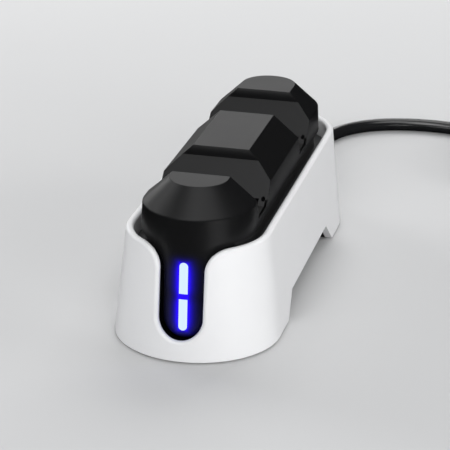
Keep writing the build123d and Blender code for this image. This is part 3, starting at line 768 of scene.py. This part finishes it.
@dataclass
class Studio:
    """Pale floor, soft light and the camera.

    Attributes:
        focal: Focal length in millimetres.
        sensor: Width of the sensor in millimetres.
        near: Distance from which the camera sees.
        azimuth: Camera's direction round the dock in degrees.
        elevation: Camera's direction above the floor in degrees.
        roll: Camera's roll in degrees.
        distance: Camera's distance from its target.
        target: Point at the middle of the picture.
        floor_size: Side of the floor.
        floor_finish: Finish of the floor.
        sky: Level of the light from all round.
        sky_colour: Colour of that light.
        lights: The softboxes.
    """

    focal: float = 162.486
    sensor: float = 36.0
    near: float = 0.01
    azimuth: float = 13.411
    elevation: float = 21.603
    roll: float = 0.771
    distance: float = 0.822956
    target: Point = (-0.00437, 0.0, 0.019605)
    floor_size: float = 8.0
    floor_finish: Moulding = Moulding(
        "pale_floor", (0.62, 0.62, 0.62), 0.8, mottle=0.0, edge=0.0, shine=0.0
    )
    sky: float = 0.4
    sky_colour: Colour = (0.95, 0.97, 1.0)
    lights: tuple[Softbox, ...] = (
        Softbox("front", LightPart.BODY, 5.0, 30.0, 1.3, 0.8, 0.6, 4.8),
        Softbox("key", LightPart.BODY, 35.0, 20.0, 1.3, 0.6, 0.5, 4.2),
        Softbox("right", LightPart.BODY, 95.0, 15.0, 1.3, 0.7, 0.5, 5.0),
        Softbox("left_rim", LightPart.BODY, -118.0, 15.0, 1.3, 0.6, 0.6, 9.0),
        Softbox("rear", LightPart.BODY, 180.0, 40.0, 1.3, 1.0, 0.7, 8.0),
        Softbox("overhead_sheen", LightPart.SHEEN, 30.0, 70.0, 1.3, 1.2, 0.6, 2.8),
        Softbox("front_sheen", LightPart.SHEEN, -8.0, 46.0, 1.3, 0.8, 0.45, 2.2),
        Softbox("rear_high_sheen", LightPart.SHEEN, -167.0, 58.0, 1.3, 0.8, 0.9, 2.4),
        Softbox("rear_sheen", LightPart.SHEEN, -166.0, 16.0, 1.3, 0.6, 0.6, 1.2),
        Softbox("rear_left_sheen", LightPart.SHEEN, -138.0, 16.0, 1.3, 0.5, 0.5, 1.6),
        Softbox("left_sheen", LightPart.SHEEN, -98.0, 38.0, 1.3, 0.7, 0.7, 2.1),
        Softbox("low_sheen", LightPart.SHEEN, 42.0, -1.5, 0.28, 0.14, 0.02, 0.038),
    )

    @staticmethod
    def direction(azimuth: float, elevation: float) -> Vector:
        """Unit vector from the dock towards an azimuth and an elevation in degrees."""
        a, e = math.radians(azimuth), math.radians(elevation)
        return Vector((math.sin(a) * math.cos(e), -math.cos(a) * math.cos(e), math.sin(e)))

    def add_camera(self) -> bpy.types.Object:
        """Makes the scene's camera and returns it."""
        data = bpy.data.cameras.new("camera")
        data.lens = self.focal
        data.sensor_width = self.sensor
        data.clip_start = self.near
        camera = bpy.data.objects.new("camera", data)
        bpy.context.scene.collection.objects.link(camera)
        back = self.direction(self.azimuth, self.elevation)
        right = Vector((0.0, 0.0, 1.0)).cross(back).normalized()
        up = back.cross(right)
        turn = math.radians(self.roll)
        rolled_right = math.cos(turn) * right + math.sin(turn) * up
        rolled_up = back.cross(rolled_right)
        place = Vector(self.target) + back * self.distance
        columns = Matrix((rolled_right, rolled_up, back)).transposed().to_4x4()
        camera.matrix_world = Matrix.Translation(place) @ columns
        bpy.context.scene.camera = camera
        return camera

    def add_lights(self) -> list[bpy.types.Object]:
        """Makes the softboxes, each turned to the dock, and returns them."""
        made = []
        for box in self.lights:
            data = bpy.data.lights.new(box.name, "AREA")
            data.shape = "RECTANGLE"
            data.size = box.width
            data.size_y = box.height
            data.energy = box.watts
            light = bpy.data.objects.new(box.name, data)
            back = self.direction(box.azimuth, box.elevation)
            light.location = Vector(self.target) + back * box.distance
            light.rotation_euler = back.to_track_quat("Z", "Y").to_euler()
            light.visible_camera = False
            light.visible_diffuse = box.part is LightPart.BODY
            light.visible_glossy = box.part is LightPart.SHEEN
            bpy.context.scene.collection.objects.link(light)
            made.append(light)
        return made

    def add_sky(self) -> bpy.types.World:
        """Sets an even pale light from all round and returns the world."""
        world = bpy.data.worlds.new("studio")
        world.use_nodes = True
        background = world.node_tree.nodes["Background"]
        background.inputs["Color"].default_value = (*self.sky_colour, 1.0)
        background.inputs["Strength"].default_value = self.sky
        world.cycles_visibility.glossy = False
        bpy.context.scene.world = world
        return world

    def add_floor(self) -> bpy.types.Object:
        """Makes the floor and returns it."""
        half = self.floor_size / 2
        mesh = bpy.data.meshes.new("floor")
        places = ((-half, -half), (half, -half), (half, half), (-half, half))
        mesh.from_pydata([(x, y, 0.0) for x, y in places], [], [(0, 1, 2, 3)])
        mesh.materials.append(self.floor_finish.build())
        floor = bpy.data.objects.new("floor", mesh)
        bpy.context.scene.collection.objects.link(floor)
        floor.visible_glossy = False
        return floor

    def build(self) -> None:
        """Builds the whole studio."""
        self.add_camera()
        self.add_lights()
        self.add_sky()
        self.add_floor()
        bpy.context.scene.view_settings.view_transform = "Standard"


@dataclass
class Dock:
    """The dock's own pieces, dressed where the solids lie.

    Attributes:
        black: Finish of the housing's plastic.
        bar_flange: Hidden length at each end of the bars.
    """

    black: Moulding = Moulding("black_housing", (0.0065, 0.0065, 0.007), 0.42)
    bar_flange: float = 0.8 * MM

    def glowing_housing(self) -> GlowingHousing:
        """Finish of the housing, with its painted glow placed from the bars' boxes."""
        low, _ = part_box("light_bar_lower")
        _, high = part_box("light_bar_upper")
        return GlowingHousing(self.black, low.z + self.bar_flange, high.z - self.bar_flange)

    def finishes(self) -> dict[str, bpy.types.Material]:
        """Builds every finish of the dock by the record's slot."""
        mouldings = (
            Moulding("white_shell", (0.83, 0.83, 0.835), 0.34, mottle=0.015),
            Moulding("black_cover", (0.012, 0.012, 0.0125), 0.55, grain=0.6 * MM),
            Moulding("circuit_board", (0.012, 0.09, 0.035), 0.4),
            Moulding("chip_black", (0.015, 0.015, 0.015), 0.5),
            Moulding("inductor_grey", (0.09, 0.09, 0.09), 0.7),
            Moulding("header_white", (0.65, 0.62, 0.55), 0.45),
            Moulding("light_box_white", (0.8, 0.8, 0.8), 0.5),
            Moulding("led_yellow", (0.75, 0.62, 0.2), 0.3),
            Moulding("ribbon_white", (0.7, 0.7, 0.7), 0.4),
            Moulding(
                "cable_black",
                (0.012, 0.012, 0.013),
                0.24,
                depth=0.004 * MM,
                coat=1.0,
                shine=1.0,
            ),
            Moulding("tie_black", (0.015, 0.015, 0.015), 0.7, grain=0.8 * MM, depth=0.1 * MM),
            Moulding("plug_black", (0.013, 0.013, 0.014), 0.45),
            Moulding("plug_insulator", (0.02, 0.02, 0.022), 0.45),
            Moulding("contact_plastic", (0.012, 0.012, 0.0125), 0.45),
            Moulding("foot_rubber", (0.02, 0.02, 0.02), 0.75, grain=0.5 * MM),
        )
        metals = (
            Metal("screw_steel", (0.55, 0.55, 0.56), 0.35),
            Metal("plug_metal", (0.72, 0.71, 0.7), 0.28),
            Metal("contact_metal", (0.83, 0.6, 0.25), 0.25),
        )
        plain = (*mouldings, *metals, LitBar("light_bar"))
        built = {finish.name: finish.build() for finish in plain}
        return {**built, self.black.name: self.glowing_housing().build()}

    def dress(self) -> dict[str, bpy.types.Material]:
        """Gives every solid its finish and returns the finishes by slot."""
        finishes = self.finishes()
        for row in frame["record"]["subparts"]:
            piece = frame["nodes"][row["node"]]
            piece.data.materials.clear()
            piece.data.materials.append(finishes[row["material_slot"]])
            LOG.info("dressed %s with %s", row["node"], row["material_slot"])
        return finishes


def main() -> None:
    """Builds the studio, dresses the dock and lays its cord."""
    logging.basicConfig(level=logging.INFO)
    Studio().build()
    finishes = Dock().dress()
    plug_detail = PlugDetail().build(finishes)
    cord = SupplyCord().build(finishes["cable_black"], plug_detail)
    LOG.info("laid %s", cord.name)


if __name__ == "__main__":
    main()
